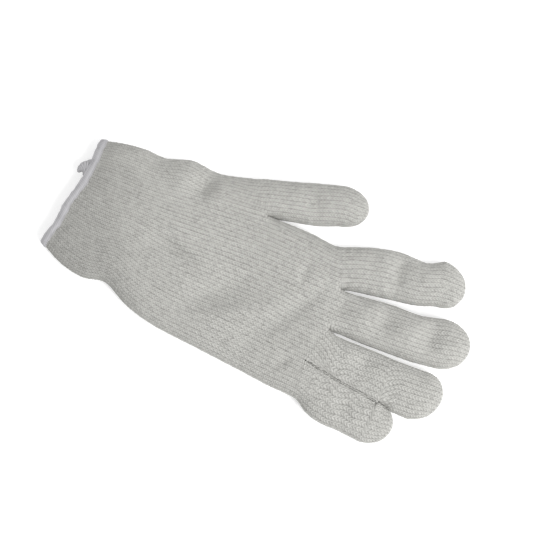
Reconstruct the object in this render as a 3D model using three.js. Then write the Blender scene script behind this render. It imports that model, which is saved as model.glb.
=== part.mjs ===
// A string knit work glove, empty and lying on its palm side, as one knitted hollow shell in eight pieces:
// the overlocked hem, the cuff, the hand, the thumb and four fingers.
// Millimetres. +X runs from the cuff to the fingertips, +Y towards the thumb, +Z up from the table.

import * as THREE from 'three';

// Fabric and lofted thickness
const WALL = 1.8;
const HEM_WALL = 2.3;
const HEM_WIDTH = 4.5;
const HEM_PROUD = 0.5;
const JOIN_GAP = 0.35;
const EDGE_HEIGHT = 5.0;
const HAND_RISE = 8.5;
const CUFF_RISE = 6.6;
const EDGE_RADIUS = 12.0;
const FORK_RADIUS = 3.5;
const FORK_RADIUS_ROWS = 2;
const TOUCH_RADIUS = 0.8;
const UNDERSIDE_SHARE = 0.6;

// Faces: columns across one finger, top and underside each, and rows along each piece
const COLUMNS = 7;
const CUFF_STEPS = 4;
const HAND_STEPS = 12;
const THUMB_FORK_STEPS = 6;
const FINGER_STEPS = 7;
const SOCKET_STEPS = 2;
const TIP_STEPS = 5;

// Rows across the cuff and palm, from the hem edge to the roots of the fingers. Each gives the point on the
// little finger's side, on the line where the index finger's lane ends, and on the thumb's side.
const BODY_ROWS = [
  { place: 'hem edge', little: [-124.9, -24.6], index: [-114.9, 28.9], thumb: [-116.0, 43.6] },
  { place: 'middle of cuff', little: [-109.5, -32.6], index: [-101.2, 29.6], thumb: [-101.0, 46.6] },
  { place: 'back of cuff', little: [-94.5, -36.0], index: [-89.0, 29.8], thumb: [-88.0, 47.6] },
  { place: 'wrist', little: [-80.5, -34.3], index: [-76.6, 29.4], thumb: [-75.5, 46.9] },
  { place: 'heel', little: [-64.5, -42.3], index: [-61.0, 31.0], thumb: [-60.5, 51.0] },
  { place: 'base of thumb', little: [-46.0, -47.5], index: [-42.0, 33.0], thumb: [-44.0, 49.2] },
  { place: 'thumb fork', little: [-16.5, -51.1], index: [-7.2, 34.6], thumb: [-26.5, 52.6] },
  { place: 'middle of palm', little: [8.8, -54.1], index: [5.2, 35.0], thumb: null },
  { place: 'knuckles', little: [27.7, -56.5], index: [20.9, 34.2], thumb: null },
  { place: 'finger roots', little: [43.6, -57.9], index: [34.9, 32.5], thumb: null },
];
const WRIST = 3;
const THUMB_FORK = 6;
const ROOTS = 9;

// The forks between the fingers: how far across the palm each lies, how far past the root row it reaches,
// and how far its line is drawn in at the hem edge
const FINGER_FORKS = [
  { between: 'little and ring', share: 0.233, reach: 0.0, bow: 2.0 },
  { between: 'ring and middle', share: 0.475, reach: 8.8, bow: 0.3 },
  { between: 'middle and index', share: 0.745, reach: 9.4, bow: 1.4 },
];
const FORK_BLEND_ROWS = 3;

// The little and the ring finger lie side by side, pressed together, over this many rows
const TOUCH_ROWS = 3.4;

// The hem edge straightens over this many rows
const HEM_BOW_ROWS = 2;

// Stations along each finger, from past its root to its shoulder, where the round tip starts
const FINGERS = [
  {
    name: 'little_finger',
    lane: 0,
    socket: 0.62,
    tip: [99.9, -55.0],
    stations: [
      { low: [51.6, -63.0], high: [49.6, -38.9] },
      { low: [60.9, -65.8], high: [62.5, -41.5] },
      { low: [72.8, -66.4], high: [74.4, -43.0] },
      { low: [85.0, -67.8], high: [87.0, -45.1] },
    ],
  },
  {
    name: 'ring_finger',
    lane: 1,
    socket: 0.58,
    tip: [120.5, -30.0],
    stations: [
      { low: [52.0, -38.8], high: [54.0, -16.6] },
      { low: [62.0, -40.8], high: [62.8, -16.9] },
      { low: [76.0, -42.6], high: [75.7, -17.1] },
      { low: [90.0, -44.9], high: [90.3, -17.8] },
      { low: [105.0, -46.4], high: [106.0, -17.8] },
    ],
  },
  {
    name: 'middle_finger',
    lane: 2,
    socket: 0.58,
    tip: [126.0, 2.8],
    stations: [
      { low: [55.5, -14.9], high: [51.6, 9.2] },
      { low: [66.3, -15.4], high: [62.9, 10.2] },
      { low: [80.0, -15.5], high: [77.2, 11.5] },
      { low: [96.0, -15.3], high: [92.6, 11.3] },
      { low: [110.5, -14.1], high: [106.5, 14.3] },
    ],
  },
  {
    name: 'index_finger',
    lane: 3,
    socket: 0.62,
    tip: [112.9, 33.0],
    stations: [
      { low: [50.8, 10.8], high: [45.5, 35.9] },
      { low: [62.1, 12.4], high: [57.0, 39.6] },
      { low: [75.5, 14.2], high: [71.5, 42.2] },
      { low: [88.0, 16.0], high: [86.5, 41.6] },
      { low: [99.5, 19.6], high: [96.0, 46.2] },
    ],
  },
  {
    name: 'thumb',
    lane: 4,
    socket: 0.7,
    tip: [45.6, 59.0],
    stations: [
      { low: [-2.6, 35.6], high: [-16.0, 55.9] },
      { low: [8.0, 37.6], high: [-1.5, 59.9] },
      { low: [20.4, 40.2], high: [12.7, 64.1] },
      { low: [32.2, 44.5], high: [27.0, 68.0] },
    ],
  },
];

// Soft folds and dents of the upper side: the middle, the direction in degrees from +X, the half length
// and half width over which each fades, and its height, below zero for a dent
const FOLDS = [
  { place: 'swell at the thumb side', x: -60, y: 35, turn: -43, length: 9, width: 5.5, height: 1.7 },
  { place: 'dent below the thumb', x: -49, y: 38, turn: 75, length: 10, width: 7, height: -4.4 },
  { place: 'dip at the wrist', x: -82, y: 39, turn: -5, length: 12, width: 6.5, height: -1.7 },
  { place: 'crease across the heel', x: -51, y: -3, turn: -11, length: 13, width: 3.5, height: -3.4 },
  { place: 'valley along the palm', x: -20, y: -18, turn: 38, length: 19, width: 8, height: -3.2 },
  { place: 'swell of the palm', x: 0, y: -24, turn: 31, length: 24, width: 6, height: 2.0 },
  { place: 'dip behind the fingers', x: 26, y: -12, turn: 55, length: 22, width: 5.5, height: -2.4 },
  { place: 'root of the middle', x: 49, y: -3, turn: 93, length: 8, width: 6, height: -1.8 },
  { place: 'crease of the index', x: 73, y: 28, turn: 98, length: 14, width: 5, height: -3.2 },
  { place: 'first crease of the middle', x: 76, y: 0, turn: 82, length: 11, width: 6, height: -3.0 },
  { place: 'second crease of the middle', x: 103, y: 0, turn: 88, length: 10, width: 6, height: -3.0 },
  { place: 'crease of the ring', x: 72, y: -26, turn: 85, length: 7, width: 7, height: -2.4 },
  { place: 'crease of the little', x: 71, y: -55, turn: 95, length: 5, width: 5, height: -1.6 },
  { place: 'dent of the thumb', x: 14, y: 50, turn: 101, length: 8, width: 6, height: -1.7 },
];

const KNIT = new THREE.MeshStandardMaterial({ color: 0xcfc8bd, roughness: 0.95, metalness: 0 });
const HEM_THREAD = new THREE.MeshStandardMaterial({ color: 0xdcd8dc, roughness: 0.95, metalness: 0 });

// A smooth curve through points of the plan, asked for by row number
function planCurve(points) {
  const vectors = points.map(([x, y]) => new THREE.Vector3(x, y, 0));
  const curve = new THREE.CatmullRomCurve3(vectors, false, 'catmullrom', 0.5);
  return (row) => curve.getPoint(row / (points.length - 1));
}

// The outer edges run on from the body into the little finger, the index finger and the thumb
function outerEdge(side, finger, end) {
  const rows = BODY_ROWS.filter((row) => row[side] !== null).map((row) => row[side]);
  return planCurve([...rows, ...finger.stations.map((station) => station[end])]);
}

const littleEdge = outerEdge('little', FINGERS[0], 'low');
const indexEdge = outerEdge('index', FINGERS[3], 'high');
const thumbEdge = outerEdge('thumb', FINGERS[4], 'high');

// The line that runs up the palm to a fork between two fingers
function forkLine(fork) {
  return (row) => {
    const blend = Math.max(0, (row - ROOTS + FORK_BLEND_ROWS) / FORK_BLEND_ROWS);
    const point = littleEdge(row).lerp(indexEdge(row), fork.share);
    const bow = fork.bow * Math.max(0, 1 - row / HEM_BOW_ROWS);
    point.x += fork.reach * blend * blend + bow;
    return point;
  };
}

const LINES = [littleEdge, ...FINGER_FORKS.map(forkLine), indexEdge, thumbEdge];

function rootRow(finger) {
  return finger.name === 'thumb' ? THUMB_FORK : ROOTS;
}

// One finger's low and high edges, by station number from its root, and past the shoulder round its tip
function fingerEdges(finger) {
  const root = rootRow(finger);
  const start = (line) => line(root).toArray().slice(0, 2);
  const low = planCurve([start(LINES[finger.lane]), ...finger.stations.map((station) => station.low)]);
  const high = planCurve([start(LINES[finger.lane + 1]), ...finger.stations.map((station) => station.high)]);
  const outerLow = finger.name === 'little_finger' ? (row) => littleEdge(root + row) : low;
  const outerHigh = { index_finger: indexEdge, thumb: thumbEdge }[finger.name];
  const highSide = outerHigh ? (row) => outerHigh(root + row) : high;
  const shoulder = finger.stations.length;
  return (row) => {
    if (row <= shoulder) return { low: outerLow(row), high: highSide(row) };
    const angle = (row - shoulder) * Math.PI / 2;
    const middle = outerLow(shoulder).lerp(highSide(shoulder), 0.5);
    const half = highSide(shoulder).sub(middle).multiplyScalar(Math.cos(angle));
    const reach = new THREE.Vector3(finger.tip[0], finger.tip[1], 0).sub(middle).multiplyScalar(Math.sin(angle));
    middle.add(reach);
    return { low: middle.clone().sub(half), high: middle.clone().add(half) };
  };
}

// The whole outline as short straight pieces, each with the radius over which the fabric rounds there
function outlinePieces() {
  const pieces = [];
  const add = (edge, from, to, radius) => {
    const steps = Math.ceil((to - from) * 12);
    for (let i = 0; i < steps; i += 1) {
      const at = from + (to - from) * i / steps;
      const next = from + (to - from) * (i + 1) / steps;
      pieces.push({ start: edge(at), end: edge(next), radius: radius((at + next) / 2) });
    }
  };
  const plain = () => EDGE_RADIUS;
  const fromFork = (row) => {
    const past = THREE.MathUtils.clamp(row / FORK_RADIUS_ROWS, 0, 1);
    return THREE.MathUtils.lerp(FORK_RADIUS, EDGE_RADIUS, past);
  };
  const touching = (row) => {
    const past = THREE.MathUtils.clamp(row - TOUCH_ROWS, 0, 1);
    return THREE.MathUtils.lerp(TOUCH_RADIUS, EDGE_RADIUS, past);
  };
  add(littleEdge, 0, ROOTS, plain);
  add(thumbEdge, 0, THUMB_FORK, plain);
  add(indexEdge, THUMB_FORK, ROOTS, (row) => fromFork(row - THUMB_FORK));
  for (const finger of FINGERS) {
    const edges = fingerEdges(finger);
    const end = finger.stations.length + 1;
    const [lowRadius, highRadius] = {
      little_finger: [plain, touching],
      ring_finger: [touching, fromFork],
      middle_finger: [fromFork, fromFork],
      index_finger: [fromFork, plain],
      thumb: [fromFork, plain],
    }[finger.name];
    add((row) => edges(row).low, 0, end, lowRadius);
    add((row) => edges(row).high, 0, end, highRadius);
  }
  return pieces;
}

const OUTLINE = outlinePieces();

// How far in from the outline a point lies, as a share of the rounding radius, at most 1
function inwardShare(x, y) {
  let share = 1;
  for (const { start, end, radius } of OUTLINE) {
    const dx = end.x - start.x;
    const dy = end.y - start.y;
    const along = ((x - start.x) * dx + (y - start.y) * dy) / (dx * dx + dy * dy);
    const t = THREE.MathUtils.clamp(along, 0, 1);
    const distance = Math.hypot(x - start.x - dx * t, y - start.y - dy * t);
    share = Math.min(share, distance / radius);
  }
  return share;
}

// A quarter round: steep at the edge, level where the share reaches 1
function quarterRound(share) {
  const left = 1 - Math.min(1, share);
  return Math.sqrt(1 - left * left);
}

function foldHeight(x, y) {
  return FOLDS.reduce((sum, fold) => {
    const turn = THREE.MathUtils.degToRad(fold.turn);
    const along = (x - fold.x) * Math.cos(turn) + (y - fold.y) * Math.sin(turn);
    const across = (y - fold.y) * Math.cos(turn) - (x - fold.x) * Math.sin(turn);
    return sum + fold.height * Math.exp(-((along / fold.length) ** 2) - ((across / fold.width) ** 2));
  }, 0);
}

function topHeight(x, y, proud) {
  const fromHem = THREE.MathUtils.smoothstep(x, BODY_ROWS[0].little[0], BODY_ROWS[WRIST].little[0]);
  const rise = THREE.MathUtils.lerp(CUFF_RISE, HAND_RISE, fromHem) + foldHeight(x, y) + proud;
  return EDGE_HEIGHT + rise * quarterRound(inwardShare(x, y));
}

function underHeight(x, y) {
  return EDGE_HEIGHT * (1 - quarterRound(inwardShare(x, y) / UNDERSIDE_SHARE));
}

// An open skin of shared points, thickened inwards into a closed shell with rims round its open ends
class Skin {
  constructor() {
    this.points = [];
    this.numbers = new Map();
    this.faces = [];
    this.endDirections = new Map();
  }

  point(x, y, z) {
    const key = [x, y, z].map((value) => value.toFixed(3)).join(' ');
    if (!this.numbers.has(key)) {
      this.numbers.set(key, this.points.length);
      this.points.push(new THREE.Vector3(x, y, z));
    }
    return this.numbers.get(key);
  }

  quad(a, b, c, d) {
    for (const face of [[a, b, c], [a, c, d]]) {
      if (new Set(face).size === 3) this.faces.push(face);
    }
  }

  // Top and underside between rows. A row has a low and a high end, and says which of them is an outer edge.
  lane(rows) {
    const tops = rows.map((row) => this.rowPoints(row, 1));
    const unders = rows.map((row) => this.rowPoints(row, -1));
    for (let i = 1; i < rows.length; i += 1) {
      for (let j = 0; j < COLUMNS; j += 1) {
        this.quad(tops[i - 1][j], tops[i][j], tops[i][j + 1], tops[i - 1][j + 1]);
        this.quad(unders[i - 1][j + 1], unders[i][j + 1], unders[i][j], unders[i - 1][j]);
      }
    }
  }

  rowPoints(row, side) {
    const proud = row.proud ?? 0;
    const across = row.high.clone().sub(row.low);
    const outward = across.clone().normalize().multiplyScalar(proud);
    return Array.from({ length: COLUMNS + 1 }, (_, j) => {
      const share = (1 - Math.cos(Math.PI * j / COLUMNS)) / 2;
      const spot = row.low.clone().addScaledVector(across, share);
      const onEdge = (j === 0 && row.lowEdge) || (j === COLUMNS && row.highEdge);
      const height = side > 0 ? topHeight(spot.x, spot.y, proud) : underHeight(spot.x, spot.y);
      if (j === 0 && row.lowEdge) spot.sub(outward);
      if (j === COLUMNS && row.highEdge) spot.add(outward);
      const number = this.point(spot.x, spot.y, onEdge ? EDGE_HEIGHT : height);
      if (row.open) this.endDirections.set(number, row.open);
      return number;
    });
  }

  normals() {
    const sums = this.points.map(() => new THREE.Vector3());
    for (const face of this.faces) {
      const [a, b, c] = face.map((number) => this.points[number]);
      const normal = b.clone().sub(a).cross(c.clone().sub(a));
      face.forEach((number) => sums[number].add(normal));
    }
    for (const [number, direction] of this.endDirections) {
      sums[number].addScaledVector(direction, -sums[number].dot(direction));
    }
    return sums.map((sum) => sum.normalize());
  }

  // Edges that belong to one face only, in that face's direction
  openEdges() {
    const used = new Set(this.faces.flatMap(([a, b, c]) => [`${a} ${b}`, `${b} ${c}`, `${c} ${a}`]));
    const edges = this.faces.flatMap(([a, b, c]) => [[a, b], [b, c], [c, a]]);
    return edges.filter(([a, b]) => !used.has(`${b} ${a}`));
  }

  thicken(wall) {
    const count = this.points.length;
    const normals = this.normals();
    const inner = this.points.map((point, i) => point.clone().addScaledVector(normals[i], -wall));
    const rims = this.openEdges().flatMap(([a, b]) => [[b, a, a + count], [b, a + count, b + count]]);
    const lining = this.faces.map(([a, b, c]) => [c + count, b + count, a + count]);
    const geometry = new THREE.BufferGeometry();
    geometry.setFromPoints([...this.points, ...inner]);
    geometry.setIndex([...this.faces, ...lining, ...rims].flat());
    geometry.computeVertexNormals();
    return geometry;
  }
}

// The direction along the glove at a straight row across it
function alongDirection(low, high) {
  const across = high.clone().sub(low);
  return new THREE.Vector3(across.y, -across.x, 0).normalize();
}

// Row numbers from one end of a piece to the other, with equal steps between the named stops
function rowNumbers(stops) {
  return stops.flatMap(({ to, steps }, i) => {
    if (i === 0) return [to];
    const from = stops[i - 1].to;
    return Array.from({ length: steps }, (_, k) => from + (to - from) * (k + 1) / steps);
  });
}

// Rows of one lane of the body, between the lines on its two sides
function bodyLane(lane, numbers, openEnds, proud = () => 0) {
  return numbers.map((number) => {
    const atRoots = number === ROOTS;
    const pastThumb = number >= THUMB_FORK;
    return {
      low: LINES[lane](number),
      high: LINES[lane + 1](number),
      lowEdge: lane === 0 || atRoots || (lane === 4 && pastThumb),
      highEdge: lane === 4 || atRoots || (lane === 3 && pastThumb),
      open: openEnds.includes(number) ? alongDirection(littleEdge(number), thumbEdge(number)) : null,
      proud: proud(number),
    };
  });
}

function fingerRows(finger, numbers, openEnd) {
  const edges = fingerEdges(finger);
  return numbers.map((number) => {
    const { low, high } = edges(number);
    const open = number === openEnd ? alongDirection(low, high) : null;
    return { low, high, lowEdge: true, highEdge: true, open };
  });
}

// A length along the glove near a row, as a share of one row step
function rowShare(line, row, length) {
  return length / line(row + 0.5).distanceTo(line(row - 0.5));
}

function hemGeometry() {
  const skin = new Skin();
  const width = HEM_WIDTH / thumbEdge(0).distanceTo(thumbEdge(1));
  const numbers = rowNumbers([{ to: 0 }, { to: width, steps: 2 }]);
  const proud = (number) => HEM_PROUD * Math.sin(Math.PI * (0.15 + 0.7 * number / width));
  for (let lane = 0; lane < 5; lane += 1) skin.lane(bodyLane(lane, numbers, [0, width], proud));
  return skin.thicken(HEM_WALL);
}

function cuffGeometry() {
  const skin = new Skin();
  const start = (HEM_WIDTH + JOIN_GAP) / thumbEdge(0).distanceTo(thumbEdge(1));
  const end = WRIST - rowShare(thumbEdge, WRIST, JOIN_GAP);
  const numbers = rowNumbers([{ to: start }, { to: end, steps: CUFF_STEPS }]);
  for (let lane = 0; lane < 5; lane += 1) skin.lane(bodyLane(lane, numbers, [start, end]));
  return skin.thicken(WALL);
}

// The palm and back of the hand, with a short socket for each finger and the thumb
function handGeometry() {
  const skin = new Skin();
  const toFork = [{ to: WRIST }, { to: THUMB_FORK, steps: THUMB_FORK_STEPS }];
  const toRoots = [...toFork, { to: ROOTS, steps: HAND_STEPS - THUMB_FORK_STEPS }];
  for (const finger of FINGERS) {
    const numbers = rowNumbers(finger.name === 'thumb' ? toFork : toRoots);
    const socket = rowNumbers([{ to: 0 }, { to: finger.socket, steps: SOCKET_STEPS }]);
    skin.lane([
      ...bodyLane(finger.lane, numbers, [WRIST]),
      ...fingerRows(finger, socket.slice(1), finger.socket),
    ]);
  }
  return skin.thicken(WALL);
}

function fingerGeometry(finger) {
  const skin = new Skin();
  const edges = fingerEdges(finger);
  const start = finger.socket + rowShare((row) => edges(row).low.lerp(edges(row).high, 0.5), finger.socket, JOIN_GAP);
  const shoulder = finger.stations.length;
  const numbers = rowNumbers([
    { to: start },
    { to: shoulder, steps: FINGER_STEPS },
    { to: shoulder + 1, steps: TIP_STEPS },
  ]);
  skin.lane(fingerRows(finger, numbers, start));
  return skin.thicken(WALL);
}

function addPiece(group, name, geometry, material) {
  const mesh = new THREE.Mesh(geometry, material);
  mesh.name = name;
  group.add(mesh);
}

const glove = new THREE.Group();
addPiece(glove, 'cuff_hem', hemGeometry(), HEM_THREAD);
addPiece(glove, 'cuff', cuffGeometry(), KNIT);
addPiece(glove, 'hand', handGeometry(), KNIT);
for (const finger of FINGERS) addPiece(glove, finger.name, fingerGeometry(finger), KNIT);

// The origin lies on the table under the middle of the glove
const middle = new THREE.Box3().setFromObject(glove).getCenter(new THREE.Vector3());
for (const mesh of glove.children) mesh.geometry.translate(-middle.x, -middle.y, 0);

export default glove;
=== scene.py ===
"""An off-white string knit work glove, lying empty on a pale table in soft studio light."""

import math

import bpy
import numpy as np
from mathutils import Matrix, Vector


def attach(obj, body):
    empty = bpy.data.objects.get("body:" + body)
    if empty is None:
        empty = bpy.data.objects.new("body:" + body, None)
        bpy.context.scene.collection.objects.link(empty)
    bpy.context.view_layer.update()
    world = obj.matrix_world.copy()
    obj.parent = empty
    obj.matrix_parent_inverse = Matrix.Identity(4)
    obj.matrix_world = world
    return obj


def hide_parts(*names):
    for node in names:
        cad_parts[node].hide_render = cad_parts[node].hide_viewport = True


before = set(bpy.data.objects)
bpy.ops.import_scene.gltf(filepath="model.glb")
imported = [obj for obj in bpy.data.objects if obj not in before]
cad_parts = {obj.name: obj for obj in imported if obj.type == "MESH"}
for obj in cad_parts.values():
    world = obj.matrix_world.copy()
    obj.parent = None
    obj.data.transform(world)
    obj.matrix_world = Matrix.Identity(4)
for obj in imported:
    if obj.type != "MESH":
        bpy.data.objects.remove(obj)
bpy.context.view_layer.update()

# Sizes in millimetres, in the frame's directions: +X to the fingertips, +Y to the thumb, +Z up. Lengths, rows
# and shares that differ by less than TINY count as equal.
MM = 0.001
TINY = 1e-6

# The section of the glove: how high its outline lies, how far the back rises above that in the hand and in
# the cuff, the radius of the rounding at the outline, at a fork and where two fingers press on each other,
# the rows from a fork to the full radius, the underside's radius as a share of it, and the wall
EDGE_HEIGHT = 5.0
HAND_RISE = 8.5
CUFF_RISE = 6.6
EDGE_RADIUS = 12.0
FORK_RADIUS = 3.5
TOUCH_RADIUS = 0.5
FORK_RADIUS_ROWS = 2
UNDERSIDE_SHARE = 0.6
WALL = 1.8

# The knitting: the width of a wale and of the narrowest one, as a share of it, the length of a course in the
# hand and in the cuff, how far a loop of yarn stands out, how far the skin is drawn in for it at the outline
# and let out where two fingers press on each other, and the rows over which that starts
WALE = 2.45
NARROWEST_WALE = 0.2
HAND_COURSE = 1.8
CUFF_COURSE = 1.65
LOFT = 0.7
EDGE_INSET = 0.3
TOUCH_INSET = -0.7
INSET_ROWS = 0.5

# A stitch: how steeply the legs of a loop rise in courses, the loft left at the ends of a leg and between
# two wales, the depth and width of the split between the legs, how far the wales wander, as a share of their
# width, and the mesh columns and rows to each stitch
LEG_RISE = 1.0
LEG_END_LOFT = 0.08
WALE_EDGE_LOFT = 0.14
SPLIT_DEPTH = 0.4
SPLIT_WIDTH = 0.1
WANDER = 0.11
ACROSS = 6
ALONG = 4

# The hem: its rolled width, where its middle lies, its thickness, how square its section is across and up,
# the pitch and height of the overlock thread, the wrap's slant in threads, the lines of looper thread round
# the roll and their share of the relief, how near to the table a thread and a gap between threads lie, and
# the mesh columns to a thread and segments round the roll
HEM_WIDTH = 4.1
HEM_MIDDLE = 2.6
HEM_THICK = 2.4
HEM_SQUARE_ACROSS = 0.7
HEM_SQUARE_UP = 0.5
HEM_THREAD = 1.15
HEM_RIDGE = 0.28
HEM_SLANT = 0.9
LOOPER_LINES = 5
LOOPER_SHARE = 0.45
THREAD_REST = 0.02
GAP_REST = 0.12
HEM_COLUMNS = 6
HEM_SEGMENTS = 32
HEM_SWELLS = (
    # waves round the mouth, share of the width, phase
    (7, 0.06, 1),
    (17, 0.06, 2),
    (31, 0.05, 0),
)

# Where the cuff's first course lies, and the groove where the hem gathers the cuff: its row, half width in
# rows and depth
CUFF_START = 2.2
PINCH_ROW = 0.42
PINCH_ROWS = 0.17
PINCH_DEPTH = 0.5

# The loose end of the overlock seam, a flat strip that curls out of the hem; then the mesh rows along it, to
# a thread and in its rounded tip, and the wrap's slant in threads
SEAM_END = (
    # x, y, z, half width, half thickness
    (-112.1, 24.2, 10.4, 6.0, 1.1),
    (-115.6, 23.8, 10.3, 5.2, 1.1),
    (-117.7, 23.5, 9.6, 3.6, 1.0),
    (-119.2, 22.5, 8.8, 2.1, 0.9),
    (-119.9, 21.4, 8.0, 1.2, 0.8),
    (-120.3, 20.3, 7.3, 0.5, 0.6),
)
SEAM_END_ROWS = 60
SEAM_END_THREAD_ROWS = 7
SEAM_END_TIP_ROWS = 4
SEAM_END_SLANT = 0.8

# Rows across the cuff and palm, from the hem edge to the finger roots: the point on the little finger's
# side, on the line where the index finger's lane ends, and on the thumb's side
BODY_ROWS = (
    # place, little finger's side, index finger's line, thumb's side
    ("hem edge", (-124.9, -24.6), (-114.9, 28.9), (-116.0, 43.6)),
    ("middle of cuff", (-109.5, -32.6), (-101.2, 29.6), (-101.0, 46.6)),
    ("back of cuff", (-94.5, -36.0), (-89.0, 29.8), (-88.0, 47.6)),
    ("wrist", (-80.5, -34.3), (-76.6, 29.4), (-75.5, 46.9)),
    ("heel", (-64.5, -42.3), (-61.0, 31.0), (-60.5, 51.0)),
    ("base of thumb", (-46.0, -47.5), (-42.0, 33.0), (-44.0, 49.2)),
    ("thumb fork", (-16.5, -51.1), (-7.2, 34.6), (-26.5, 52.6)),
    ("middle of palm", (8.8, -54.1), (5.2, 35.0), None),
    ("knuckles", (27.7, -56.5), (20.9, 34.2), None),
    ("finger roots", (43.6, -57.9), (34.9, 32.5), None),
)
WRIST, THUMB_FORK, ROOTS = 3, 6, 9

# The forks between the fingers, from the little finger's: how far across the palm each lies, how far it
# reaches past the roots, and how far its line is drawn in at the hem edge; then the rows over which the reach
# grows and the rows over which the bow fades
FINGER_FORKS = (
    # share, reach, bow
    (0.233, 0.0, 2.0),
    (0.475, 8.8, 0.3),
    (0.745, 9.4, 1.4),
)
FORK_BLEND_ROWS = 3
HEM_BOW_ROWS = 2

# Each lane of knitting: the wales that start at its low fork, those that run on into the palm, and those
# that start at its high fork; then the stall's round tip, and its low and high edge at each station
LANES = (
    {
        "name": "little_finger", "wales": (0, 10, 3), "tip": (99.9, -55.0),
        "low": ((51.6, -63.0), (60.9, -65.8), (72.8, -66.4), (85.0, -67.8)),
        "high": ((49.6, -38.9), (62.5, -41.5), (74.4, -43.0), (87.0, -45.1)),
    },
    {
        "name": "ring_finger", "wales": (2, 9, 2), "tip": (120.5, -30.0),
        "low": ((52.0, -38.8), (62.0, -40.8), (76.0, -42.6), (90.0, -44.9), (105.0, -46.4)),
        "high": ((54.0, -16.6), (62.8, -16.9), (75.7, -17.1), (90.3, -17.8), (106.0, -17.8)),
    },
    {
        "name": "middle_finger", "wales": (2, 9, 2), "tip": (126.0, 2.8),
        "low": ((55.5, -14.9), (66.3, -15.4), (80.0, -15.5), (96.0, -15.3), (110.5, -14.1)),
        "high": ((51.6, 9.2), (62.9, 10.2), (77.2, 11.5), (92.6, 11.3), (106.5, 14.3)),
    },
    {
        "name": "index_finger", "wales": (2, 9, 2), "tip": (112.9, 33.0),
        "low": ((50.8, 10.8), (62.1, 12.4), (75.5, 14.2), (88.0, 16.0), (99.5, 19.6)),
        "high": ((45.5, 35.9), (57.0, 39.6), (71.5, 42.2), (86.5, 41.6), (96.0, 46.2)),
    },
    {
        "name": "thumb", "wales": (2, 11, 0), "tip": (45.6, 59.0),
        "low": ((-2.6, 35.6), (8.0, 37.6), (20.4, 40.2), (32.2, 44.5)),
        "high": ((-16.0, 55.9), (-1.5, 59.9), (12.7, 64.1), (27.0, 68.0)),
    },
)
LITTLE, RING, MIDDLE, INDEX, THUMB = range(len(LANES))

# The row from which each lane's low and high edge is an outer edge of the glove
OUTER_FROM = ((0, ROOTS), (ROOTS, ROOTS), (ROOTS, ROOTS), (ROOTS, THUMB_FORK), (THUMB_FORK, 0))

# The sides of the little and the ring finger that are pressed together, and over how many rows past the roots
TOUCHING = ((LITTLE, 1), (RING, 0))
TOUCH_ROWS = 4.0

# Folds and dents of the upper side: middle, direction in degrees from +X, half length, half width, height.
# The last six are too fine for the plain solids.
FOLDS = (
    # place, x, y, turn, length, width, height
    ("swell at the thumb side", -60, 35, -43, 9, 5.5, 1.7),
    ("dent below the thumb", -49, 38, 75, 10, 7, -5.0),
    ("dip at the wrist", -82, 39, -5, 12, 6.5, -1.7),
    ("crease across the heel", -51, -3, -11, 13, 3.5, -3.4),
    ("valley along the palm", -20, -18, 38, 19, 8, -3.2),
    ("swell of the palm", 0, -24, 31, 24, 6, 2.0),
    ("dip behind the fingers", 26, -12, 55, 22, 5.5, -2.4),
    ("root of the middle", 49, -3, 93, 8, 6, -1.8),
    ("crease of the index", 73, 28, 98, 14, 5, -3.2),
    ("first crease of the middle", 76, 0, 82, 11, 6, -3.0),
    ("second crease of the middle", 103, 0, 88, 10, 6, -3.0),
    ("crease of the ring", 72, -26, 85, 7, 7, -2.4),
    ("crease of the little", 71, -55, 95, 5, 5, -1.6),
    ("dent of the thumb", 14, 50, 101, 8, 6, -1.7),
    ("swell of the index", 67, 27, 104, 10, 4.5, 1.0),
    ("swell near the index tip", 90, 33, 103, 9, 7, 1.7),
    ("first swell of the middle", 64, 0, 81, 10, 5, 1.0),
    ("second swell of the middle", 92, -1, 85, 9, 5, 1.0),
    ("streak behind the index", 24, 9, 85, 9, 2.5, -1.2),
    ("streak behind the little", 31, -41, 63, 7, 3, -1.1),
)

# The view: its direction round and above the glove in degrees, its distance, its aim and the lens
VIEW_AZIMUTH = 20.9
VIEW_ELEVATION = 76.0
VIEW_DISTANCE = 727.1
VIEW_AIM = (3.92, 5.77, 5.0)
LENS = 85.0


# The plan of the glove

def unit(vectors):
    return vectors / np.linalg.norm(vectors, axis=-1, keepdims=True)


def smooth_line(points):
    """A smooth curve through points of the plan, asked for by row number."""
    p = np.array(points, float)
    p = np.vstack([2 * p[0] - p[1], p, 2 * p[-1] - p[-2]])
    last = len(p) - 3

    def at(row):
        row = np.clip(np.asarray(row, float), 0, last)
        i = np.minimum(row.astype(int), last - 1)
        t = (row - i)[..., None]
        a, b, c, d = p[i], p[i + 1], p[i + 2], p[i + 3]
        curve = 2 * b + (c - a) * t + (2 * a - 5 * b + 4 * c - d) * t ** 2
        return 0.5 * (curve + (3 * b - a - 3 * c + d) * t ** 3)

    return at


def outer_line(column, lane, side):
    """An outer edge of the body that runs on into a stall."""
    rows = [row[column] for row in BODY_ROWS if row[column] is not None]
    return smooth_line([*rows, *LANES[lane][side]])


little_line = outer_line(1, LITTLE, "low")
index_line = outer_line(2, INDEX, "high")
thumb_line = outer_line(3, THUMB, "high")


def fork_line(share, reach, bow):
    """The line that runs up the palm to a fork between two fingers."""
    def at(row):
        row = np.asarray(row, float)
        blend = np.maximum(0, (row - ROOTS + FORK_BLEND_ROWS) / FORK_BLEND_ROWS)
        low, high = little_line(row), index_line(row)
        point = low + (high - low) * share
        point[..., 0] += reach * blend ** 2 + bow * np.maximum(0, 1 - row / HEM_BOW_ROWS)
        return point

    return at


BODY_LINES = (little_line, *(fork_line(*fork) for fork in FINGER_FORKS), index_line, thumb_line)


def root_row(lane):
    return THUMB_FORK if lane == THUMB else ROOTS


def shoulder_row(lane):
    return root_row(lane) + len(LANES[lane]["low"])


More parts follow.
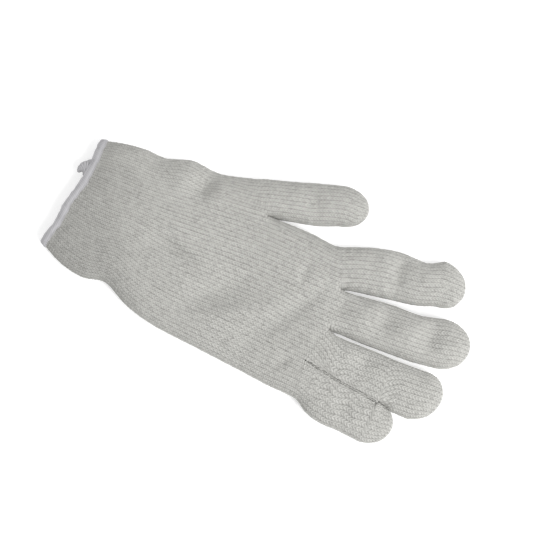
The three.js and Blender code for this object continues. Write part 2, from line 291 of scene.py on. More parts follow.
def stall_line(lane, side):
    """The low or high edge of a lane's stall, by rows past its root."""
    root = root_row(lane)
    outer = {(LITTLE, "low"): little_line, (INDEX, "high"): index_line, (THUMB, "high"): thumb_line}
    if (lane, side) in outer:
        return lambda row: outer[lane, side](root + np.asarray(row, float))
    start = BODY_LINES[lane + (side == "high")](root)
    return smooth_line([start, *LANES[lane][side]])


STALL_LINES = [(stall_line(lane, "low"), stall_line(lane, "high")) for lane in range(len(LANES))]


def edge_inset(lane, side, row):
    """How far an edge is drawn in, so that the loops of yarn stand out to the glove's outline."""
    first = OUTER_FROM[lane][side]
    if first == 0:
        return np.full(np.shape(row), EDGE_INSET)
    if (lane, side) in TOUCHING:
        rows = (0, INSET_ROWS, TOUCH_ROWS, TOUCH_ROWS + INSET_ROWS)
        return np.interp(row - first, rows, (0, TOUCH_INSET, TOUCH_INSET, EDGE_INSET))
    return np.interp(row - first, (0, INSET_ROWS), (0, EDGE_INSET))


def lane_edges(lane, row):
    """The plan points of a lane's two edges."""
    root = root_row(lane)
    past = np.maximum(0, row - root)[..., None]
    in_body = np.minimum(row, root)
    low = np.where(past > 0, STALL_LINES[lane][0](past[..., 0]), BODY_LINES[lane](in_body))
    high = np.where(past > 0, STALL_LINES[lane][1](past[..., 0]), BODY_LINES[lane + 1](in_body))
    across = unit(high - low)
    low = low + across * edge_inset(lane, 0, row)[..., None]
    high = high - across * edge_inset(lane, 1, row)[..., None]
    return low, high


# A stall's heading at its shoulder is taken over this many rows
HEADING_ROWS = 0.4


def lane_plan(lane, row, share):
    """A plan point by row and by share across the lane. Past the shoulder the rows fill the round tip."""
    shoulder = shoulder_row(lane)
    low, high = lane_edges(lane, np.minimum(row, shoulder))
    middle = (low + high) / 2
    reach = np.array(LANES[lane]["tip"]) - middle
    reach = reach * (1 - EDGE_INSET / np.linalg.norm(reach, axis=-1, keepdims=True))
    before_low, before_high = lane_edges(lane, np.full(np.shape(row), shoulder - HEADING_ROWS))
    straight = unit(middle - (before_low + before_high) / 2) * np.linalg.norm(reach, axis=-1, keepdims=True)
    cap = np.clip(row - shoulder, 0, 1)
    side = 2 * share - 1
    across = side * np.sqrt(1 - cap ** 2 / 2)
    along = cap * np.sqrt(1 - side ** 2 / 2)
    bend = along * (1 - along) * (1 - side ** 2)
    plan = middle + (high - low) / 2 * across[..., None] + reach * along[..., None]
    return plan + (straight - reach) * bend[..., None]


# The height of the glove over the plan. The outline has so many straight pieces to a row and to each of the
# three parts of a tip, and points are measured to it in batches.
EDGE_STEPS = 14
TIP_STEPS = 40
BATCH = 8192


def outline_pieces():
    """The outline as short straight pieces: starts, ends and the radius of the rounding at each."""
    starts, ends, radii = [], [], []

    def add(points, radius):
        starts.append(points[:-1])
        ends.append(points[1:])
        radii.append((radius[:-1] + radius[1:]) / 2)

    for lane in range(len(LANES)):
        shoulder = shoulder_row(lane)
        for side, first in enumerate(OUTER_FROM[lane]):
            row = np.linspace(first, shoulder, int((shoulder - first) * EDGE_STEPS) + 1)
            radius = np.full(len(row), EDGE_RADIUS)
            if (lane, side) in TOUCHING:
                radius = np.interp(row - first, (TOUCH_ROWS, TOUCH_ROWS + 1), (TOUCH_RADIUS, EDGE_RADIUS))
            elif first:
                radius = np.interp(row - first, (0, FORK_RADIUS_ROWS), (FORK_RADIUS, EDGE_RADIUS))
            add(lane_edges(lane, row)[side], radius)
        t = np.linspace(0, 1, TIP_STEPS)
        row = np.concatenate([shoulder + t, np.full(TIP_STEPS, shoulder + 1.0), shoulder + t[::-1]])
        share = np.concatenate([np.zeros(TIP_STEPS), t, np.ones(TIP_STEPS)])
        tip = lane_plan(lane, row, share)
        radius = np.full(len(tip), EDGE_RADIUS)
        if (lane, 1) in TOUCHING:
            radius[-TIP_STEPS:] = np.linspace(EDGE_RADIUS, TOUCH_RADIUS, TIP_STEPS)
        distinct = np.append(True, np.linalg.norm(np.diff(tip, axis=0), axis=1) > TINY)
        add(tip[distinct], radius[distinct])
    return np.vstack(starts), np.vstack(ends), np.concatenate(radii)


PIECE_START, PIECE_END, PIECE_RADIUS = outline_pieces()
OUTLINE = np.vstack([PIECE_START, PIECE_END])
CENTRE = (OUTLINE.min(0) + OUTLINE.max(0)) / 2


def inward_share(points):
    """How far in from the outline points lie, as a share of the rounding radius, at most 1."""
    run = PIECE_END - PIECE_START
    square = (run ** 2).sum(1)
    out = np.empty(len(points))
    for at in range(0, len(points), BATCH):
        p = points[at:at + BATCH]
        dx = p[:, :1] - PIECE_START[:, 0]
        dy = p[:, 1:] - PIECE_START[:, 1]
        t = np.clip((dx * run[:, 0] + dy * run[:, 1]) / square, 0, 1)
        dx -= t * run[:, 0]
        dy -= t * run[:, 1]
        out[at:at + BATCH] = (np.sqrt(dx ** 2 + dy ** 2) / PIECE_RADIUS).min(1)
    return np.minimum(out, 1)


def quarter_round(share):
    return np.sqrt(1 - (1 - np.clip(share, 0, 1)) ** 2)


def fold_height(points):
    height = np.zeros(len(points))
    for _, x, y, turn, length, width, rise in FOLDS:
        c, s = math.cos(math.radians(turn)), math.sin(math.radians(turn))
        dx, dy = points[:, 0] - x, points[:, 1] - y
        height += rise * np.exp(-((dx * c + dy * s) / length) ** 2 - ((dy * c - dx * s) / width) ** 2)
    return height


def smooth_step(value, low, high):
    t = np.clip((value - low) / (high - low), 0, 1)
    return t * t * (3 - 2 * t)


def upper_height(points, share):
    hem_x, wrist_x = BODY_ROWS[0][1][0], BODY_ROWS[WRIST][1][0]
    fade = smooth_step(points[:, 0], hem_x, wrist_x)
    rise = CUFF_RISE + (HAND_RISE - CUFF_RISE) * fade + fold_height(points) - LOFT
    return EDGE_HEIGHT + rise * quarter_round(share)


def hem_pinch(row, share):
    """The shallow groove where the hem gathers the cuff."""
    return -PINCH_DEPTH * np.exp(-((row - PINCH_ROW) / PINCH_ROWS) ** 2) * quarter_round(share)


def under_height(points, share):
    return LOFT + (EDGE_HEIGHT - LOFT) * (1 - quarter_round(share / UNDERSIDE_SHARE))


def skin_points(lane, row, share, upper):
    """Points of the bare skin under the loops of yarn, in millimetres in the frame."""
    plan = lane_plan(lane, row, share)
    inward = inward_share(plan)
    low_first, high_first = OUTER_FROM[lane]
    at_low = (share < TINY) & (row >= low_first - TINY)
    at_high = (share > 1 - TINY) & (row >= high_first - TINY)
    inward[at_low | at_high | (row > shoulder_row(lane) + 1 - TINY)] = 0
    height = upper_height(plan, inward) + hem_pinch(row, inward) if upper else under_height(plan, inward)
    return np.column_stack([plan - CENTRE, height])


# The courses and wales of the knitting: the steps that a line's length is measured in, fewer for the short
# lines at the hem, the points across a lane that its wales are spaced on, the courses over which they spread
# past a fork, and how many courses before it they stop following the skin
LINE_STEPS = 400
HEM_STEPS = 50
SECTION_STEPS = 61
SPREAD_COURSES = 9
SPREAD_START = 5


def run_length(points):
    """The length of a line up to each of its points."""
    steps = np.linalg.norm(np.diff(points, axis=0), axis=1)
    return np.concatenate([[0], np.cumsum(steps)])


def even_rows(line, first, last, course):
    """Rows at equal steps along a line, with a whole number of courses between the two ends."""
    row = np.linspace(first, last, LINE_STEPS)
    length = run_length(line(row))
    count = max(2, round(length[-1] / course))
    return np.interp(np.linspace(0, length[-1], count + 1), length, row)


def course_rows():
    """The row numbers of the body's courses, and those of each lane with its stall added."""
    middle = BODY_LINES[2]
    hem_row = CUFF_START / run_length(middle(np.linspace(0, 1, HEM_STEPS)))[-1]
    cuff = even_rows(middle, hem_row, WRIST, CUFF_COURSE)
    heel = even_rows(middle, WRIST, THUMB_FORK, HAND_COURSE)
    palm = even_rows(middle, THUMB_FORK, ROOTS, HAND_COURSE)
    ends = [len(cuff) - 1, len(cuff) + len(heel) - 2, len(cuff) + len(heel) + len(palm) - 3]
    lanes = []
    for lane in range(len(LANES)):
        half = np.full(LINE_STEPS, 0.5)
        row = np.linspace(root_row(lane), shoulder_row(lane) + 1, LINE_STEPS)
        length = run_length(lane_plan(lane, row, half))
        count = round(length[-1] / HAND_COURSE)
        stall = np.interp(np.linspace(0, length[-1], count + 1), length, row)
        body = [cuff[:-1], heel[:-1]] if lane == THUMB else [cuff[:-1], heel[:-1], palm[:-1]]
        lanes.append(np.concatenate([*body, stall]))
    return ends, lanes


(CUFF_END, HEEL_END, PALM_END), LANE_ROWS = course_rows()


def row_at(lane, course):
    """The row number in the plan of a course, or of a place between two."""
    rows = LANE_ROWS[lane]
    return np.interp(course, np.arange(len(rows)), rows)


def lane_forks(lane):
    """The course and wale of the forks at a lane's low and high side."""
    low, middle, _ = LANES[lane]["wales"]
    return {
        LITTLE: ((PALM_END, middle),),
        RING: ((PALM_END, low), (PALM_END, low + middle)),
        MIDDLE: ((PALM_END, low), (PALM_END, low + middle)),
        INDEX: ((HEEL_END, low + middle), (PALM_END, low)),
        THUMB: ((HEEL_END, low),),
    }[lane]


def wale_table(lane, upper):
    """The share across the lane at which each wale lies, course by course: evenly along the skin, but
    spreading slowly past each fork, where the side wales start."""
    rows = LANE_ROWS[lane]
    turns = (1 - np.cos(np.linspace(0, math.pi, SECTION_STEPS))) / 2
    row, share = np.repeat(rows, SECTION_STEPS), np.tile(turns, len(rows))
    skin = skin_points(lane, row, share, upper).reshape(len(rows), SECTION_STEPS, 3)
    low, middle, high = LANES[lane]["wales"]
    first_low, first_high = (first if first else -1 for first in OUTER_FROM[lane])
    table = []
    for section, r in zip(skin, rows):
        length = run_length(section)
        at_low, at_high = low * (r > first_low), high * (r > first_high)
        spare = (length[-1] / WALE - middle) / max(1, at_low + at_high)
        side = np.clip(spare, NARROWEST_WALE, 1)
        widths = [side * (at_low > 0)] * low + [1.0] * middle + [side * (at_high > 0)] * high
        place = np.concatenate([[0], np.cumsum(widths)])
        table.append(np.interp(place / place[-1] * length[-1], length, turns))
    table = np.array(table)
    course = np.arange(len(rows))
    for fork_course in sorted({fork[0] for fork in lane_forks(lane)}):
        start = fork_course - SPREAD_START
        spread = smooth_step(course, fork_course, fork_course + SPREAD_COURSES)[:, None]
        past = course > start
        table[past] = (table[start] * (1 - spread) + table * spread)[past]
    return table


WALE_TABLES = {
    (lane, upper): wale_table(lane, upper)
    for lane in range(len(LANES))
    for upper in (True, False)
}


def share_at(lane, upper, course, wale):
    """The share across the lane of a place on a course and a wale, or between them."""
    table = WALE_TABLES[lane, upper]
    i = np.clip(course.astype(int), 0, table.shape[0] - 2)
    j = np.clip(wale.astype(int), 0, table.shape[1] - 2)
    s, t = np.clip(course - i, 0, 1), np.clip(wale - j, 0, 1)
    near = table[i, j] * (1 - t) + table[i, j + 1] * t
    far = table[i + 1, j] * (1 - t) + table[i + 1, j + 1] * t
    return near * (1 - s) + far * s


# The legs lie straight within so many courses and wales of a fork
STRAIGHT_COURSES = 1.5
STRAIGHT_WALES = 2


def stitch_slant(lane, course, wale):
    """How far the legs of a loop slant, in courses. They lie straight at the hem, the tip and the forks."""
    leg = np.abs(1 - 2 * (wale % 1)) - 0.5
    fade = np.minimum(course, len(LANE_ROWS[lane]) - 1 - course)
    for fork_course, fork_wale in lane_forks(lane):
        courses_off = np.abs(course - fork_course) / STRAIGHT_COURSES
        wales_off = np.abs(wale - fork_wale) / STRAIGHT_WALES
        fade = np.minimum(fade, np.maximum(courses_off, wales_off))
    return LEG_RISE * leg * np.clip(fade, 0, 1)


def wander(lane, course, wale):
    """The wales run a little unevenly, but keep to the lane's edges."""
    sway = np.sin(0.31 * course + 1.7 * wale + lane) + np.sin(0.83 * course - 2.3 * wale + 2.1 * lane)
    inside = np.minimum(wale, sum(LANES[lane]["wales"]) - wale)
    return WANDER / 2 * sway * np.clip((inside - 2) / 2, 0, 1)


# The uneven yarn: the size of each stitch and of each wale, by side of the glove, lane, wale and course
MOST_WALES = 20
MOST_COURSES = 160
STITCH_SIZE = np.random.default_rng(11).uniform(0.6, 1.0, (2, len(LANES), MOST_WALES, MOST_COURSES))
WALE_SIZE = np.random.default_rng(12).uniform(0.85, 1.0, (2, len(LANES), MOST_WALES))


def loop_loft(lane, upper, course, wale):
    """The loft of the yarn, 0 to 1: two slanting legs to each wale, which dive in between the wales and
    under the loop before."""
    a, q = wale % 1, course % 1
    leg = LEG_END_LOFT + (1 - LEG_END_LOFT) * np.sin(math.pi * q) ** 0.7
    wide = WALE_EDGE_LOFT + (1 - WALE_EDGE_LOFT) * np.sin(math.pi * a) ** 0.8
    split = 1 - SPLIT_DEPTH * np.exp(-((a - 0.5) / SPLIT_WIDTH) ** 2)
    side = int(upper)
    wale_number = wale.astype(int) % MOST_WALES
    course_number = course.astype(int) % MOST_COURSES
    size = STITCH_SIZE[side, lane, wale_number, course_number] * WALE_SIZE[side, lane, wale_number]
    return leg * wide * split * size


# Sheets of knitting. Points nearer than this are one, and edges shorter than this are closed.
SAME_POINT = 0.004
NO_EDGE = 0.002


def select_only(*pieces):
    bpy.ops.object.select_all(action="DESELECT")
    for piece in pieces:
        piece.select_set(True)
    bpy.context.view_layer.objects.active = pieces[0]


def sheet_grid(columns, rows, turned):
    """A plain grid, with the row and column number of each of its points."""
    bpy.ops.object.select_all(action="DESELECT")
    bpy.ops.mesh.primitive_grid_add(x_subdivisions=rows, y_subdivisions=columns, size=1, location=(0, 0, 0))
    piece = bpy.context.object
    count = len(piece.data.vertices)
    flat = np.empty(count * 3)
    piece.data.vertices.foreach_get("co", flat)
    flat = flat.reshape(-1, 3)
    row = np.rint((flat[:, 0] + 0.5) * rows)
    column = np.rint((flat[:, 1] + 0.5) * columns)
    if turned:
        column = columns - column
    return piece, row, column


def set_points(mesh, points):
    mesh.vertices.foreach_set("co", (points * MM).ravel())
    mesh.update()


def add_values(mesh, name, values):
    layer = mesh.attributes.get(name) or mesh.attributes.new(name, "FLOAT", "POINT")
    layer.data.foreach_set("value", values)


def set_uv(mesh, u, v):
    corner = np.empty(len(mesh.loops), int)
    mesh.loops.foreach_get("vertex_index", corner)
    layer = mesh.uv_layers[0] if mesh.uv_layers else mesh.uv_layers.new(name="knit")
    layer.name = "knit"
    layer.uv.foreach_set("vector", np.column_stack([u[corner], v[corner]]).ravel())


def lane_sheet(piece_name, lane, upper, first, last, wales, fine):
    """One side of one lane as a sheet of loops between two courses, or as the plain skin behind them. Until
    the skin is cut, its material only says which piece it belongs to."""
    low, high = wales
    across, along = (ACROSS, ALONG) if fine else (1, 1)
    piece, row, column = sheet_grid((high - low) * across, (last - first) * along, not upper)
    course = first + row / along
    wale = low + column / across
    at = course + stitch_slant(lane, course, wale) if fine else course
    share = share_at(lane, upper, at, wale + wander(lane, at, wale))
    points = skin_points(lane, row_at(lane, at), share, upper)
    set_points(piece.data, points)
    add_values(piece.data, "loft", loop_loft(lane, upper, course, wale) if fine else np.zeros(len(row)))
    set_uv(piece.data, wale + MOST_WALES * (lane if upper else len(LANES) + lane), course)
    piece.data.materials.append(bpy.data.materials.get(piece_name) or bpy.data.materials.new(piece_name))
    return piece


def weld(pieces):
    """Joins sheets and merges the points that they share."""
    select_only(*pieces)
    bpy.ops.object.join()
    piece = bpy.context.object
    bpy.ops.object.mode_set(mode="EDIT")
    bpy.ops.mesh.select_all(action="SELECT")
    bpy.ops.mesh.remove_doubles(threshold=SAME_POINT * MM)
    bpy.ops.mesh.dissolve_degenerate(threshold=NO_EDGE * MM)
    bpy.ops.object.mode_set(mode="OBJECT")
    return piece


def push_out(piece, distance):
    """Moves each point along the skin's normal by a distance in millimetres."""
    mesh = piece.data
    count = len(mesh.vertices)
    points, normals = np.empty(count * 3), np.empty(count * 3)
    mesh.vertices.foreach_get("co", points)
    mesh.vertex_normals.foreach_get("vector", normals)
    points = points.reshape(-1, 3) + normals.reshape(-1, 3) * np.asarray(distance)[..., None] * MM
    mesh.vertices.foreach_set("co", points.ravel())
    mesh.update()


def read_values(mesh, name):
    values = np.empty(len(mesh.vertices))
    mesh.attributes[name].data.foreach_get("value", values)
    return values


def body_lanes(last_lane):
    """The wales of each lane that the body holds. A stall's side wales start at its forks, so the index
    finger's outer ones are in the body past the thumb's lane."""
    lanes = []
    for lane in range(last_lane + 1):
        low, middle, high = LANES[lane]["wales"]
        outer = high if lane == last_lane == INDEX else 0
        lanes.append((lane, (low, low + middle + outer)))
    return lanes


def knit_sheets():
    """The sheets that each piece is knitted from: piece, lane, first and last course, and its wales."""
    sheets = []
    for lane, wales in body_lanes(THUMB):
        sheets.append(("cuff_knit", lane, 0, CUFF_END, wales))
        sheets.append(("heel_knit", lane, CUFF_END, HEEL_END, wales))
    for lane, wales in body_lanes(INDEX):
        sheets.append(("palm_knit", lane, HEEL_END, PALM_END, wales))
    for lane, facts in enumerate(LANES):
        root = HEEL_END if lane == THUMB else PALM_END
        tip = len(LANE_ROWS[lane]) - 1
        sheets.append((facts["name"] + "_knit", lane, root, tip, (0, sum(facts["wales"]))))
    return sheets


def knit_skin(fine):
    """All the sheets welded into one closed skin, open at the cuff."""
    return weld([
        lane_sheet(name, lane, upper, first, last, wales, fine)
        for name, lane, first, last, wales in knit_sheets()
        for upper in (True, False)
    ])


def turn_inwards(piece):
    """Turns the faces of a piece over, so that they point into the hollow."""
    select_only(piece)
    bpy.ops.object.mode_set(mode="EDIT")
    bpy.ops.mesh.select_all(action="SELECT")
    bpy.ops.mesh.flip_normals()
    bpy.ops.object.mode_set(mode="OBJECT")


def cut_pieces(skin):
    """Cuts the skin into the pieces that its sheets belong to, by name."""
    select_only(skin)
    bpy.ops.object.mode_set(mode="EDIT")
    bpy.ops.mesh.select_all(action="SELECT")
    bpy.ops.mesh.separate(type="MATERIAL")
    bpy.ops.object.mode_set(mode="OBJECT")
    pieces = {}
    for piece in bpy.context.selected_objects:
        label = piece.material_slots[piece.data.polygons[0].material_index].material
        piece.name = piece.data.name = label.name
        pieces[label.name] = piece
    for piece in pieces.values():
        piece.data.materials.clear()
    for name in pieces:
        bpy.data.materials.remove(bpy.data.materials[name])
    return pieces


def make_knit():
    """The knitted hand in one skin, its loops outside and the plain back of the fabric inside, then cut
    into its pieces along whole courses."""
    outer = knit_skin(True)
    push_out(outer, read_values(outer.data, "loft") * LOFT)
    inner = knit_skin(False)
    push_out(inner, np.full(len(inner.data.vertices), LOFT - WALL))
    turn_inwards(inner)
    select_only(outer, inner)
    bpy.ops.object.join()
    bpy.ops.object.shade_smooth()
    return cut_pieces(bpy.context.object)


# The hem. The mouth is measured at this many points across each lane.
MOUTH_STEPS = 40


def mouth_ring(row):
    """Points round the mouth at one row: over the top from the little finger's side, and back below."""
    share = np.linspace(0, 1, MOUTH_STEPS + 1)[:-1]
    rows = np.full(MOUTH_STEPS, row)
    lanes = range(len(LANES))
    top = [skin_points(lane, rows, share, True) for lane in lanes]
    below = [skin_points(lane, rows, 1 - share, False) for lane in reversed(lanes)]
    return np.vstack(top + below)


def even_ring(points, length, count):
    """A closed ring of points read off at equal steps."""
    closed = np.vstack([points, points[:1]])
    steps = np.arange(count) / count * length[-1]
    return np.column_stack([np.interp(steps, length, closed[:, axis]) for axis in range(3)])


def make_seam_end():
    """The flat end of the overlock seam, closed at its tip."""
    piece, row, segment = sheet_grid(HEM_SEGMENTS, SEAM_END_ROWS, False)
    stations = np.array(SEAM_END)
    at = row / SEAM_END_ROWS * (len(stations) - 1)
    line = smooth_line(stations[:, :2])
    plan = line(at)
    along = unit(line(at + 0.01) - line(at - 0.01))
    across = np.column_stack([-along[:, 1], along[:, 0]])
    numbers = np.arange(len(stations))
    high, half_width, half_thick = (np.interp(at, numbers, values) for values in stations[:, 2:].T)
    angle = segment.astype(int) % HEM_SEGMENTS / HEM_SEGMENTS * 2 * math.pi
    wrap = row / SEAM_END_THREAD_ROWS + SEAM_END_SLANT * np.cos(angle)
    ridge = np.abs(np.sin(math.pi * wrap))
    tip = np.sqrt(np.clip((SEAM_END_ROWS - row) / SEAM_END_TIP_ROWS, 0, 1))
    out = (half_width + HEM_RIDGE * ridge) * np.cos(angle) * tip
    rise = (half_thick + HEM_RIDGE * ridge) * np.sin(angle) * tip
    plan = plan + across * out[:, None]
    points = np.column_stack([plan - CENTRE, high + rise])
    set_points(piece.data, points)
    add_values(piece.data, "loft", ridge)
    set_uv(piece.data, wrap, segment / HEM_SEGMENTS)
    return piece


def hem_path():
    """The number of threads round the mouth, and for each mesh column the roll's middle and the directions
    along the cuff and out of it."""
    row = np.linspace(0, 1, HEM_STEPS)
    middle_row = float(np.interp(HEM_MIDDLE, run_length(BODY_LINES[2](row)), row))
    ring = mouth_ring(middle_row)
    length = run_length(np.vstack([ring, ring[:1]]))
    threads = round(length[-1] / HEM_THREAD)
    count = threads * HEM_COLUMNS
    rows = (middle_row, 0, 2 * middle_row)
    middle, edge, inside = (even_ring(mouth_ring(row), length, count) for row in rows)
    along = unit(inside - edge)
    round_way = unit(np.roll(middle, -1, axis=0) - np.roll(middle, 1, axis=0))
    out = unit(np.cross(along, round_way))
    return threads, middle + out * (LOFT - WALL / 2), along, out


def make_hem():
    """The rolled edge of the mouth, wrapped all round in fine overlock thread."""
    threads, centre, along, out = hem_path()
    count = threads * HEM_COLUMNS
    piece, column, segment = sheet_grid(HEM_SEGMENTS, count, False)
    column, segment = column.astype(int) % count, segment.astype(int) % HEM_SEGMENTS
    angle = segment / HEM_SEGMENTS * 2 * math.pi
    c, s = np.cos(angle), np.sin(angle)
    wrap = column / HEM_COLUMNS + HEM_SLANT * c
    thick = np.random.default_rng(5).uniform(0.75, 1.1, threads)[np.floor(wrap).astype(int) % threads]
    ridge = np.abs(np.sin(math.pi * wrap)) ** 0.8 * thick
    turn = column / count * 2 * math.pi
    swell = 1 + sum(share * np.sin(waves * turn + phase) for waves, share, phase in HEM_SWELLS)
    looper = 0.5 + 0.5 * np.cos(LOOPER_LINES * angle)
    ridge = ridge * (1 - LOOPER_SHARE) + looper * LOOPER_SHARE
    wide = np.sign(c) * np.abs(c) ** HEM_SQUARE_ACROSS * HEM_WIDTH / 2 + c * HEM_RIDGE * ridge
    high = np.sign(s) * np.abs(s) ** HEM_SQUARE_UP * HEM_THICK / 2 + s * HEM_RIDGE * ridge
    wide *= swell
    high *= 2 - swell
    points = centre[column] + along[column] * wide[:, None] + out[column] * high[:, None]
    rest = THREAD_REST + (GAP_REST - THREAD_REST) * (1 - ridge)
    points[:, 2] = np.maximum(points[:, 2], rest)
    set_points(piece.data, points)
    add_values(piece.data, "loft", ridge)
    set_uv(piece.data, wrap, segment / HEM_SEGMENTS)
    piece = weld([piece, make_seam_end()])
    bpy.ops.object.shade_smooth()
    piece.name = piece.data.name = "overlocked_hem"
    return piece


# Materials

def new_material(name):
    material = bpy.data.materials.new(name)
    material.use_nodes = True
    nodes, links = material.node_tree.nodes, material.node_tree.links
    shader = nodes["Principled BSDF"]
    return material, nodes, links, shader


def set_inputs(node, values):
    for name, value in values.items():
        node.inputs[name].default_value = value


def number_node(nodes, links, operation, *inputs):
    node = nodes.new("ShaderNodeMath")
    node.operation = operation
    for socket, value in zip(node.inputs, inputs):
        if isinstance(value, (int, float)):
            socket.default_value = value
        else:
            links.new(value, socket)
    return node.outputs[0]


def noise_node(nodes, links, vector, scale, detail, roughness=0.5):
    node = nodes.new("ShaderNodeTexNoise")
    set_inputs(node, {"Scale": scale, "Detail": detail, "Roughness": roughness})
    links.new(vector, node.inputs["Vector"])
    return node.outputs["Fac"]


def ramp_node(nodes, links, factor, stops):
    node = nodes.new("ShaderNodeValToRGB")
    ramp = node.color_ramp
    while len(ramp.elements) < len(stops):
        ramp.elements.new(0.5)
    for element, (place, colour) in zip(ramp.elements, stops):
        element.position = place
        element.color = (*colour, 1)
    links.new(factor, node.inputs["Fac"])
    return node.outputs["Color"]


def split_node(nodes, links, vector):
    """The X and Y of a vector."""
    node = nodes.new("ShaderNodeSeparateXYZ")
    links.new(vector, node.inputs[0])
    return node.outputs["X"], node.outputs["Y"]


def loft_value(nodes):
    """How far the yarn or thread stands out, from 0 in the hollows to 1."""
    loft = nodes.new("ShaderNodeAttribute")
    loft.attribute_name = "loft"
    return loft.outputs["Fac"]


def add_bump(nodes, links, shader, relief, strength, distance):
    bump = nodes.new("ShaderNodeBump")
    set_inputs(bump, {"Strength": strength, "Distance": distance})
    links.new(relief, bump.inputs["Height"])
    links.new(bump.outputs["Normal"], shader.inputs["Normal"])


def twisted_plies(nodes, links):
    """The plies of the yarn, as a wave that runs on a slant along each leg of a loop."""
    uv = nodes.new("ShaderNodeUVMap")
    uv.uv_map = "knit"
    across, along = split_node(nodes, links, uv.outputs["UV"])
    in_wale = number_node(nodes, links, "FRACT", across)
    leg = number_node(nodes, links, "ABSOLUTE", number_node(nodes, links, "SUBTRACT", in_wale, 0.5))
    turns = number_node(nodes, links, "MULTIPLY", along, 2.0)
    turns = number_node(nodes, links, "MULTIPLY_ADD", leg, 5.2, turns)
    return number_node(nodes, links, "SINE", number_node(nodes, links, "MULTIPLY", turns, 2 * math.pi))


def yarn_colour_and_hollow_shade(nodes, links, place, fibre):
    """Off-white, with painted shade in the hollows between the loops, and a little uneven along the yarn."""
    mottle = noise_node(nodes, links, place, scale=90, detail=4, roughness=0.6)
    slub = noise_node(nodes, links, place, scale=520, detail=2)
    uneven = number_node(nodes, links, "MULTIPLY", fibre, 0.18)
    uneven = number_node(nodes, links, "MULTIPLY_ADD", mottle, 0.12, uneven)
    uneven = number_node(nodes, links, "MULTIPLY_ADD", slub, 0.35, uneven)
    uneven = number_node(nodes, links, "SUBTRACT", uneven, 0.05)
    # painted shade: the lower the loft, the darker the yarn, as in the shaded hollows between the loops
    hollow_shade_and_tone = number_node(nodes, links, "MULTIPLY_ADD", loft_value(nodes), 0.6, uneven)
    return ramp_node(nodes, links, hollow_shade_and_tone, (
        # tone, colour; low tones are the painted shade of the hollows
        (0.12, (0.12, 0.118, 0.110)),
        (0.5, (0.41, 0.407, 0.386)),
        (1.0, (0.56, 0.557, 0.53)),
    ))


def cuff_tone_and_painted_light(nodes, links, place):
    """How bright the yarn is from the hem, at 0, to the fingertips, at 1: painted light that grows towards
    the fingertips, as if the key light stood nearer them, and a greyer cuff, partly where the elastic draws
    the loops tight and partly painted shade."""
    x, y = split_node(nodes, links, place)
    patch = noise_node(nodes, links, place, scale=35, detail=2)
    # the painted light and shade run along this slant, from the cuff to the fingertips
    askew = number_node(nodes, links, "MULTIPLY_ADD", y, 0.38, x)
    span = nodes.new("ShaderNodeMapRange")
    set_inputs(span, {"From Min": -0.13, "From Max": 0.13})
    links.new(number_node(nodes, links, "MULTIPLY_ADD", patch, 0.02, askew), span.inputs["Value"])
    return ramp_node(nodes, links, span.outputs["Result"], (
        # place, brightness: painted light and shade, with the cuff's greyer yarn
        (0.0, (0.80, 0.80, 0.80)),
        (0.16, (0.84, 0.84, 0.84)),
        (0.26, (0.98, 0.98, 0.98)),
        (0.4, (1.02, 1.02, 1.02)),
        (0.55, (0.99, 0.99, 0.99)),
        (1.0, (1.05, 1.05, 1.05)),
    ))


def knit_material():
    """Soft spun yarn with twisted plies, with painted shade in the hollows, painted light towards the
    fingertips and a dull bloom.
    """
    material, nodes, links, shader = new_material("string_knit")
    place = nodes.new("ShaderNodeTexCoord").outputs["Object"]
    fibre = noise_node(nodes, links, place, scale=2600, detail=3, roughness=0.6)
    # the yarn's colour is dimmed and brightened by the painted light and shade from cuff to tip
    dim = nodes.new("ShaderNodeHueSaturation")
    links.new(yarn_colour_and_hollow_shade(nodes, links, place, fibre), dim.inputs["Color"])
    links.new(cuff_tone_and_painted_light(nodes, links, place), dim.inputs["Value"])
    links.new(dim.outputs["Color"], shader.inputs["Base Color"])
    relief = number_node(nodes, links, "MULTIPLY_ADD", twisted_plies(nodes, links), 0.35, fibre)
    add_bump(nodes, links, shader, relief, strength=0.35, distance=0.0002)
    set_inputs(shader, {
        "Roughness": 0.92,
        "Specular IOR Level": 0.25,
        "Sheen Weight": 0.12,
        "Sheen Roughness": 0.6,
    })
    return material


def thread_material():
    """Smooth overlock thread, a little whiter and cooler than the yarn, with painted shade where the wraps
    meet.
    """
    material, nodes, links, shader = new_material("hem_thread")
    place = nodes.new("ShaderNodeTexCoord").outputs["Object"]
    mottle = noise_node(nodes, links, place, scale=160, detail=3)
    fibre = noise_node(nodes, links, place, scale=3200, detail=2, roughness=0.6)
    mottle = number_node(nodes, links, "MULTIPLY", mottle, 0.5)
    # painted shade: the thread is darker where the loft is low, in the gaps between the wraps
    hollow_shade_and_tone = number_node(nodes, links, "MULTIPLY_ADD", loft_value(nodes), 0.6, mottle)
    colour = ramp_node(nodes, links, hollow_shade_and_tone, (
        # tone, colour; low tones are the painted shade between the wraps
        (0.15, (0.18, 0.178, 0.183)),
        (0.55, (0.34, 0.336, 0.348)),
        (0.95, (0.43, 0.425, 0.44)),
    ))
    links.new(colour, shader.inputs["Base Color"])
    add_bump(nodes, links, shader, fibre, strength=0.3, distance=0.0001)
    set_inputs(shader, {"Roughness": 0.7, "Specular IOR Level": 0.3, "Sheen Weight": 0.15})
    return material


def floor_material():
    """A pale table that glows a little, so that the shadows between the fingers stay pale."""
    material, nodes, links, shader = new_material("pale_table")
    place = nodes.new("ShaderNodeTexCoord").outputs["Object"]
    grain = noise_node(nodes, links, place, scale=30, detail=2)
    colour = ramp_node(nodes, links, grain, (
        # grain, colour
        (0.3, (0.80, 0.80, 0.80)),
        (0.7, (0.82, 0.82, 0.82)),
    ))
    links.new(colour, shader.inputs["Base Color"])
    set_inputs(shader, {"Roughness": 0.8, "Emission Color": (1, 1, 1, 1), "Emission Strength": 0.35})
    return material


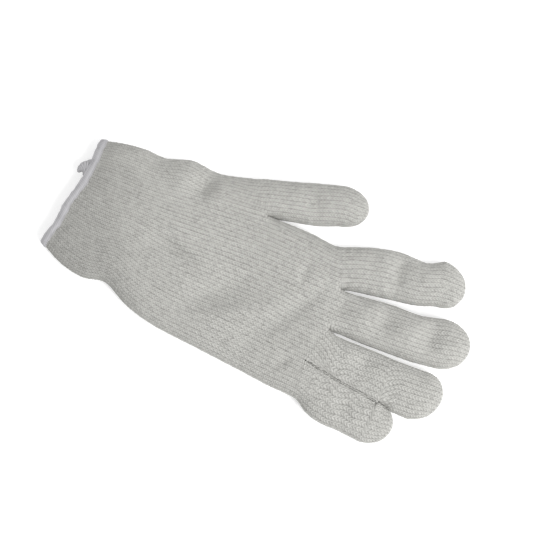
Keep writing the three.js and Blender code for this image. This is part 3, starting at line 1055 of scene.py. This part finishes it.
def give(piece, material, slot, *nodes_replaced):
    """Gives a finished piece its material and the nodes that it stands for; its record slot is not used."""
    piece.data.materials.append(material)
    piece.data.polygons.foreach_set("material_index", np.zeros(len(piece.data.polygons), int))
    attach(piece, "root")
    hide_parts(*nodes_replaced)


# The studio, in metres

def add_camera():
    """The camera at the photograph's viewing angle."""
    azimuth, elevation = math.radians(VIEW_AZIMUTH), math.radians(VIEW_ELEVATION)
    back = Vector((
        math.sin(azimuth) * math.cos(elevation),
        -math.cos(azimuth) * math.cos(elevation),
        math.sin(elevation),
    ))
    right = Vector((math.cos(azimuth), math.sin(azimuth), 0))
    up = back.cross(right)
    data = bpy.data.cameras.new("camera")
    data.lens = LENS
    camera = bpy.data.objects.new("camera", data)
    bpy.context.collection.objects.link(camera)
    place = Vector(VIEW_AIM) * MM + back * VIEW_DISTANCE * MM
    turn = Matrix((right, up, back)).transposed().to_4x4()
    camera.matrix_world = Matrix.Translation(place) @ turn
    bpy.context.scene.camera = camera


def add_soft_light(name, place, size, power):
    """A square soft light that faces the glove."""
    data = bpy.data.lights.new(name, "AREA")
    data.size = size
    data.energy = power
    light = bpy.data.objects.new(name, data)
    bpy.context.collection.objects.link(light)
    light.location = place
    light.rotation_mode = "QUATERNION"
    light.rotation_quaternion = (-Vector(place)).to_track_quat("-Z", "Y")


def add_studio():
    """The table, a key light from the fingertips' side, a weaker light across from it, and a white room."""
    bpy.ops.object.select_all(action="DESELECT")
    bpy.ops.mesh.primitive_plane_add(size=6, location=(0, 0, 0))
    floor = bpy.context.object
    floor.name = "pale_table_top"
    floor.data.materials.append(floor_material())
    add_soft_light("key_light", place=(1.65, -0.6, 1.65), size=1.2, power=54)
    add_soft_light("fill_light", place=(-1.3, 1.0, 2.0), size=1.6, power=18)
    world = bpy.data.worlds.new("studio")
    world.use_nodes = True
    set_inputs(world.node_tree.nodes["Background"], {"Color": (1, 1, 1, 1), "Strength": 0.60})
    bpy.context.scene.world = world
    bpy.context.scene.view_settings.view_transform = "Standard"


# The glove on its table
add_camera()
add_studio()
string_knit = knit_material()
knit_pieces = make_knit()
give(knit_pieces["cuff_knit"], string_knit, "knit", "cuff")
give(knit_pieces["heel_knit"], string_knit, "knit", "hand")
give(knit_pieces["palm_knit"], string_knit, "knit", "hand")
for facts in LANES:
    give(knit_pieces[facts["name"] + "_knit"], string_knit, "knit", facts["name"])
give(make_hem(), thread_material(), "hem_thread", "cuff_hem")
